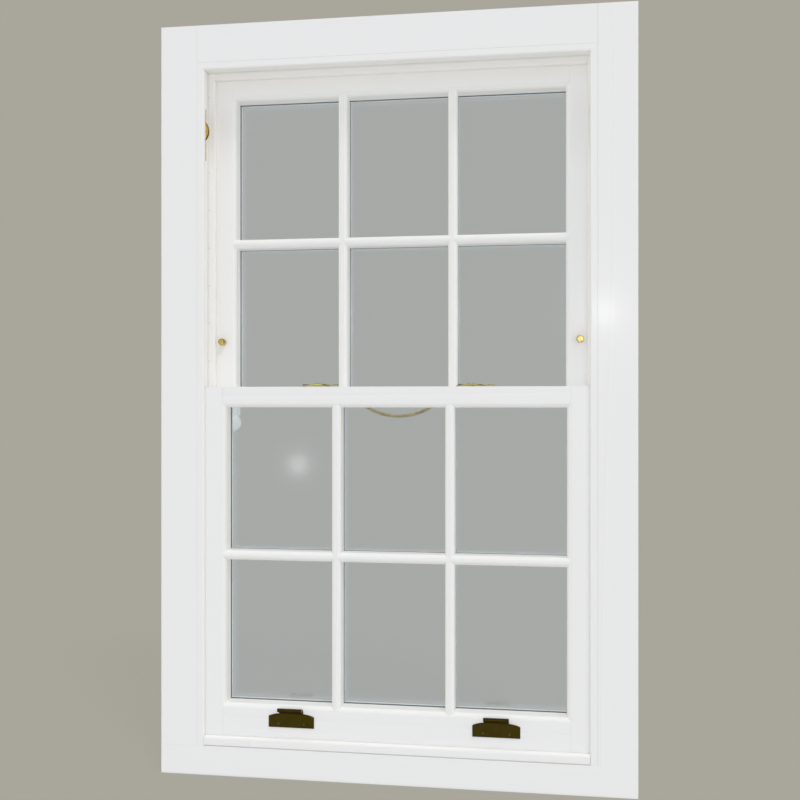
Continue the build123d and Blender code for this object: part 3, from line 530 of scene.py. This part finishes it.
def select_top_face(piece: bpy.types.Object) -> None:
    """Select, in edit mode, only the face of a piece whose middle lies highest.

    Args:
        piece: The active mesh object, modelled with its head upwards.
    """
    bpy.ops.object.mode_set(mode="EDIT")
    bpy.ops.mesh.select_mode(type="FACE")
    bpy.ops.mesh.select_all(action="DESELECT")
    bpy.ops.object.mode_set(mode="OBJECT")
    top = max(piece.data.polygons, key=lambda face: face.center.z)
    top.select = True
    bpy.ops.object.mode_set(mode="EDIT")


@dataclass(frozen=True)
class DomedHead:
    """A fixing's head, a low dome, with or without a slot for a driver."""

    radius: float
    rim: float
    dome: float
    slot_width: float = 0.0
    slot_depth: float = 0.0
    cutter_length_share: float = 2.4
    sides: int = 24
    rings: int = 3

    def model(self) -> bpy.types.Object:
        """Model one head at the origin, looking up, with its seat at the origin.

        Returns:
            The head as a mesh object.
        """
        clear_selection()
        bpy.ops.mesh.primitive_cylinder_add(
            vertices=self.sides, radius=self.radius, depth=self.rim, location=(0.0, 0.0, self.rim / 2)
        )
        head = bpy.context.active_object
        select_top_face(head)
        for ring in range(self.rings):
            start = math.pi / 2 * ring / (self.rings + 1)
            end = math.pi / 2 * (ring + 1) / (self.rings + 1)
            inset = self.radius * (math.cos(start) - math.cos(end))
            bpy.ops.mesh.inset(thickness=inset, depth=self.dome * (math.sin(end) - math.sin(start)))
        bpy.ops.object.mode_set(mode="OBJECT")
        if self.slot_width > 0.0:
            self._cut_slot(head)
        clear_selection()
        return head

    def _cut_slot(self, head: bpy.types.Object) -> None:
        """Cut a driver's slot across a head.

        Args:
            head: The head to cut.
        """
        top = self.rim + self.dome
        bpy.ops.mesh.primitive_cube_add(size=1.0, location=(0.0, 0.0, top))
        cutter = bpy.context.active_object
        cutter.scale = (self.radius * self.cutter_length_share, self.slot_width, self.slot_depth * 2)
        bpy.ops.object.transform_apply(location=True, rotation=True, scale=True)
        clear_selection()
        bpy.context.view_layer.objects.active = head
        head.select_set(True)
        cut = head.modifiers.new("slot", "BOOLEAN")
        cut.operation = "DIFFERENCE"
        cut.solver = "EXACT"
        cut.object = cutter
        bpy.ops.object.modifier_apply(modifier=cut.name)
        bpy.data.objects.remove(cutter)


@dataclass
class Fixings:
    """Copies of one modelled head, set where they are driven in."""

    head: DomedHead
    finish: Finish
    slot: str

    def drive(
        self, name: str, places: Sequence[Place], facing: Facing, body: str, turns: Sequence[float] = (0.0,)
    ) -> None:
        """Set a head at each place and join them into one piece.

        Args:
            name: The piece's name.
            places: Where each head's seat lies.
            facing: The way that the heads look.
            body: The body that carries them.
            turns: Turn of each slot about its own axis, used again from the first when they run out.
        """
        pattern = self.head.model()
        look = Vector(facing.value).to_track_quat("Z", "Y").to_matrix().to_4x4()
        copies = []
        for count, place in enumerate(places):
            copy = pattern.copy()
            copy.data = pattern.data.copy()
            turn = Matrix.Rotation(turns[count % len(turns)], 4, "Z")
            copy.data.transform(Matrix.Translation(place) @ look @ turn)
            bpy.context.scene.collection.objects.link(copy)
            copies.append(copy)
        bpy.data.objects.remove(pattern)
        clear_selection()
        for copy in copies:
            copy.select_set(True)
        bpy.context.view_layer.objects.active = copies[0]
        if len(copies) > 1:
            bpy.ops.object.join()
        piece = bpy.context.active_object
        piece.name = name
        bpy.ops.object.shade_smooth_by_angle(angle=SMOOTH_ANGLE)
        Palette.give(piece, self.finish)
        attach(piece, body)
        clear_selection()
        LOG.info("%s: %d heads on %s", name, len(places), body)


@dataclass
class Joinery:
    """The painted timber of the box frame and of both sashes."""

    level_words: tuple[str, ...] = ("rail", "cross", "sill", "head", "glazing")
    sash_starts: tuple[str, ...] = ("lower_", "upper_")
    bare_nodes: tuple[str, ...] = ("parting_slips",)
    painted_slot: str = "painted_timber"

    def dress(self) -> None:
        """Paint each member along its own length."""
        for part in frame["record"]["subparts"]:
            node = part["node"]
            if node in self.bare_nodes:
                Palette.give(frame["nodes"][node], BARE_TIMBER)
            elif part["material_slot"] == self.painted_slot:
                paint = self._paint(node)
                Palette.give(frame["nodes"][node], paint)
                LOG.info("%s: %s", node, paint.name)

    def _paint(self, node: str) -> PaintFinish:
        """Choose the paint of a member by the way it runs and by what it belongs to.

        Args:
            node: The member's name.

        Returns:
            Its paint. A sash's paint has lighter painted shade in its seams, reaching less far, because panes lie
            close to all its members.
        """
        level = any(word in node for word in self.level_words)
        if node.startswith(self.sash_starts):
            return SASH_LEVEL_PAINT if level else SASH_UPRIGHT_PAINT
        return LEVEL_PAINT if level else UPRIGHT_PAINT


@dataclass
class PartingPins:
    """Pins that hold the parting beads in their grooves."""

    pitch: float = 0.083
    first_height: float = 0.886
    count: int = 8
    from_stile: float = 0.003
    head: DomedHead = DomedHead(radius=0.0016, rim=0.0003, dome=0.0003, sides=12, rings=2)

    def build(self) -> None:
        """Drive a row of pins up the room face of each parting bead."""
        pins = Fixings(self.head, PIN_PAINT, "painted_timber")
        for side, facing_x in (("left", 1.0), ("right", -1.0)):
            low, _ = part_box(f"parting_bead_{side}")
            stile_low, stile_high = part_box(f"pulley_stile_{side}")
            stile_face = stile_high.x if facing_x > 0 else stile_low.x
            x = stile_face + facing_x * self.from_stile
            places = [(x, low.y, self.first_height + self.pitch * step) for step in range(self.count)]
            pins.drive(f"parting_pins_{side}", places, Facing.ROOM, "frame")


@dataclass
class Fittings:
    """Glass, weights, pulleys and brassware, with the screws that fix the brassware."""

    lift_screw: DomedHead = DomedHead(
        radius=0.0028, rim=0.0002, dome=0.0006, slot_width=0.0007, slot_depth=0.0005
    )
    plate_screw: DomedHead = DomedHead(
        radius=0.0031, rim=0.0002, dome=0.0006, slot_width=0.0008, slot_depth=0.0006
    )
    small_screw: DomedHead = DomedHead(
        radius=0.0026, rim=0.0002, dome=0.0005, slot_width=0.0007, slot_depth=0.0005
    )
    lift_screw_out: float = 0.0274
    lift_screw_rise: float = 0.0075
    lift_plate_thickness: float = 0.003
    fastener_screw_out: float = 0.022
    fastener_plate_thickness: float = 0.0025
    keep_plate_thickness: float = 0.002
    keep_screw_out: float = 0.007
    keep_screw_inset: float = 0.0045
    plate_screw_inset: float = 0.010
    lift_turns: tuple[float, ...] = (0.6, -0.9)
    fastener_turns: tuple[float, ...] = (0.4, 1.3)
    keep_turns: tuple[float, ...] = (1.1, 0.2)
    plate_turns: tuple[float, ...] = (0.3, 1.0)

    FINISHES = {
        "pane_glass": PANE_GLASS,
        "spacer_bar": SPACER_BAR_PAINTED_SHADE,
        "weight_iron": CAST_IRON,
        "polished_brass": POLISHED_BRASS,
        "bronzed_brass": BRONZED_BRASS,
        "pin_steel": TURNED_STEEL,
    }

    def dress(self) -> None:
        """Give each fitting its finish."""
        for part in frame["record"]["subparts"]:
            finish = self.FINISHES.get(part["material_slot"])
            if finish is not None:
                Palette.give(frame["nodes"][part["node"]], finish)
                LOG.info("%s: %s", part["node"], finish.name)

    def build(self) -> None:
        """Drive the screws of the lifts, fasteners, keeps and pulley plates."""
        self._lift_screws()
        self._fastener_screws()
        self._pulley_screws()

    def _lift_screws(self) -> None:
        """Two screws low on the plate of each lift."""
        screws = Fixings(self.lift_screw, WORN_BRONZE, "bronzed_brass")
        for side in ("left", "right"):
            low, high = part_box(f"sash_lift_{side}")
            middle = (low.x + high.x) / 2
            face = high.y - self.lift_plate_thickness
            height = low.z + self.lift_screw_rise
            places = [(middle + out, face, height) for out in (-self.lift_screw_out, self.lift_screw_out)]
            screws.drive(f"lift_screws_{side}", places, Facing.ROOM, "lower_sash", self.lift_turns)

    def _fastener_screws(self) -> None:
        """Two screws in each fastener base and two behind the wall of each keep."""
        screws = Fixings(self.plate_screw, POLISHED_BRASS, "polished_brass")
        keeps = Fixings(self.small_screw, POLISHED_BRASS, "polished_brass")
        base_low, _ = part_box("fastener_bases")
        keep_low, keep_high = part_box("fastener_keeps")
        for joint in frame["joints"]:
            if not joint["name"].startswith("fastener_turn_"):
                continue
            side = joint["name"].removeprefix("fastener_turn_")
            x, y, _ = joint["pos_m"]
            top = base_low.z + self.fastener_plate_thickness
            bases = [(x + out, y, top) for out in (-self.fastener_screw_out, self.fastener_screw_out)]
            screws.drive(f"fastener_screws_{side}", bases, Facing.UP, "lower_sash", self.fastener_turns)
            back = keep_high.y - self.keep_screw_inset
            seat = keep_low.z + self.keep_plate_thickness
            seats = [(x + out, back, seat) for out in (-self.keep_screw_out, self.keep_screw_out)]
            keeps.drive(f"keep_screws_{side}", seats, Facing.UP, "upper_sash", self.keep_turns)

    def _pulley_screws(self) -> None:
        """A screw at the top and foot of each pulley plate."""
        screws = Fixings(self.small_screw, POLISHED_BRASS, "polished_brass")
        low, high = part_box("pulley_cases")
        for joint in frame["joints"]:
            if "_pulley_spin_" not in joint["name"]:
                continue
            left = joint["pos_m"][0] < 0.0
            stile_low, stile_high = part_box("pulley_stile_left" if left else "pulley_stile_right")
            face = stile_high.x if left else stile_low.x
            heights = (low.z + self.plate_screw_inset, high.z - self.plate_screw_inset)
            places = [(face, joint["pos_m"][1], z) for z in heights]
            name = joint["name"].replace("_pulley_spin_", "_pulley_screws_")
            screws.drive(name, places, Facing.RIGHT if left else Facing.LEFT, "frame", self.plate_turns)


@dataclass
class Studio:
    """Floor, lamps, surroundings and the camera before the window."""

    backdrop: Colour = (0.397, 0.381, 0.328)
    ambient: Colour = (0.645, 0.643, 0.636)
    floor_matt: Colour = (0.352, 0.338, 0.291)
    glow: Colour = (0.80, 1.10, 1.88)
    dim: Colour = (0.07, 0.07, 0.07)
    mirror_stops: tuple[float, ...] = (0.30, 0.45, 0.68, 0.92)
    mirror_towards: Place = (0.0, -1.0, 0.15)
    floor_size: float = 40.0
    floor_drop: float = 0.0005
    shadow_share: float = 0.3
    key_towards: Place = (0.70, -1.0, 1.65)
    key_strength: float = 0.55
    key_softness: float = math.radians(14.0)
    camera_place: Place = (0.2971, -2.0614, 0.800)
    camera_yaw: float = 0.140
    camera_lens: float = 43.456
    sensor_width: float = 36.0
    spark_places: tuple[Place, ...] = ((0.611, -2.628, 1.205), (-0.823, -2.480, 0.492))
    spark_powers: tuple[float, ...] = (3.6, 0.36)
    spark_radius: float = 0.03
    fill_strength: float = 0.285
    fill_fall: float = 0.5

    def build(self) -> None:
        """Set up everything round the window."""
        self._surroundings()
        self._floor()
        self._lamps()
        self._camera()

    def _seen(self, graph: Graph) -> tuple[bpy.types.NodeSocket, bpy.types.NodeSocket]:
        """Masks for rays that show the backdrop and rays that are mirrored.

        Args:
            graph: The graph that needs them.

        Returns:
            The mask of rays seen straight or through glass, and the mask of mirrored rays.
        """
        ray = graph.add("ShaderNodeLightPath")
        straight = graph.maths("MAXIMUM", ray.outputs["Is Camera Ray"], ray.outputs["Is Transmission Ray"])
        return straight, ray.outputs["Is Glossy Ray"]

    def _surroundings(self) -> None:
        """Even light, a plain backdrop, and a dim room with a bright front for metal and glass to mirror."""
        world = bpy.data.worlds.new("studio")
        bpy.context.scene.world = world
        world.use_nodes = True
        graph = Graph(world.node_tree)
        seen, mirrored = self._seen(graph)
        even = graph.add("ShaderNodeBackground", {"Color": (*self.ambient, 1.0)})
        plain = graph.add("ShaderNodeBackground", {"Color": (*self.backdrop, 1.0)})
        front = graph.add("ShaderNodeBackground")
        where = graph.add("ShaderNodeTexCoord")
        towards = graph.add("ShaderNodeVectorMath", operation="DOT_PRODUCT")
        towards.inputs[1].default_value = self.mirror_towards
        graph.link(where.outputs["Generated"], towards.inputs[0])
        ahead = graph.add("ShaderNodeMapRange", {"From Min": -1.0})
        graph.link(towards.outputs["Value"], ahead.inputs["Value"])
        tones = graph.add("ShaderNodeValToRGB")
        tones.color_ramp.interpolation = "EASE"
        while len(tones.color_ramp.elements) < len(self.mirror_stops):
            tones.color_ramp.elements.new(1.0)
        colours = (self.backdrop, self.dim, self.dim, self.glow)
        for element, stop, colour in zip(tones.color_ramp.elements, self.mirror_stops, colours):
            element.position = stop
            element.color = (*colour, 1.0)
        graph.link(ahead.outputs["Result"], tones.inputs["Fac"])
        graph.link(tones.outputs["Color"], front.inputs["Color"])
        unseen = graph.mix_shaders(mirrored, even, front)
        both = graph.mix_shaders(seen, unseen, plain)
        graph.link(both.outputs[0], world.node_tree.nodes["World Output"].inputs["Surface"])

    def _floor(self) -> None:
        """A pale floor in the backdrop's colour that keeps a soft shadow of the window."""
        clear_selection()
        bpy.ops.mesh.primitive_plane_add(size=self.floor_size, location=(0.0, 0.0, -self.floor_drop))
        floor = bpy.context.active_object
        floor.name = "studio_floor"
        material = bpy.data.materials.new("studio_floor")
        material.use_nodes = True
        graph = Graph(material.node_tree)
        seen, _ = self._seen(graph)
        plain = graph.add("ShaderNodeEmission", {"Color": (*self.backdrop, 1.0)})
        matt = graph.add("ShaderNodeBsdfDiffuse", {"Color": (*self.floor_matt, 1.0)})
        even = graph.add("ShaderNodeEmission", {"Color": (*self.ambient, 1.0)})
        shown = graph.mix_shaders(self.shadow_share, plain, matt)
        both = graph.mix_shaders(seen, even, shown)
        graph.link(both.outputs[0], material.node_tree.nodes["Material Output"].inputs["Surface"])
        floor.data.materials.append(material)
        floor.visible_glossy = False

    def _sun(self, name: str, towards: Vector, strength: float) -> bpy.types.Object:
        """Add one distant lamp.

        Args:
            name: The lamp's name.
            towards: Direction from the window to the lamp.
            strength: The light that falls on a face turned to it.

        Returns:
            The lamp.
        """
        clear_selection()
        bpy.ops.object.light_add(type="SUN")
        lamp = bpy.context.active_object
        lamp.name = name
        lamp.rotation_mode = "QUATERNION"
        lamp.rotation_quaternion = towards.to_track_quat("Z", "Y")
        lamp.data.energy = strength
        lamp.visible_transmission = False
        return lamp

    def _fill_directions(self) -> list[Vector]:
        """Spread directions evenly all round.

        Returns:
            The twelve corners of an icosahedron, each one unit away.
        """
        golden = (1.0 + math.sqrt(5.0)) / 2.0
        corners = [(0.0, a, b * golden) for a in (-1.0, 1.0) for b in (-1.0, 1.0)]
        return [Vector((c[i], c[i - 2], c[i - 1])).normalized() for c in corners for i in range(3)]

    def _lamps(self) -> None:
        """A soft key from the upper right, a fill all round, and two lamps that spark on paint and glass."""
        key = self._sun("key", Vector(self.key_towards), self.key_strength)
        key.data.angle = self.key_softness
        for towards in self._fill_directions():
            strength = self.fill_strength * (1.0 + self.fill_fall * towards.z)
            fill = self._sun("fill", towards, strength)
            fill.data.use_shadow = False
            fill.visible_glossy = False
        for place, power in zip(self.spark_places, self.spark_powers):
            bpy.ops.object.light_add(type="POINT", location=place)
            spark = bpy.context.active_object
            spark.name = "spark"
            spark.data.energy = power
            spark.data.shadow_soft_size = self.spark_radius
            spark.visible_transmission = False

    def _camera(self) -> None:
        """The camera at the height of the window's middle, turned a little to the left."""
        clear_selection()
        bpy.ops.object.camera_add(location=self.camera_place, rotation=(math.pi / 2, 0.0, self.camera_yaw))
        camera = bpy.context.active_object
        camera.data.lens = self.camera_lens
        camera.data.sensor_width = self.sensor_width
        bpy.context.scene.camera = camera
        bpy.context.scene.view_settings.view_transform = "Standard"


def main() -> None:
    """Build and dress the window, then the studio round it."""
    logging.basicConfig(level=logging.INFO, format="%(message)s")
    Joinery().dress()
    fittings = Fittings()
    fittings.dress()
    fittings.build()
    PartingPins().build()
    Studio().build()


if __name__ == "__main__":
    main()
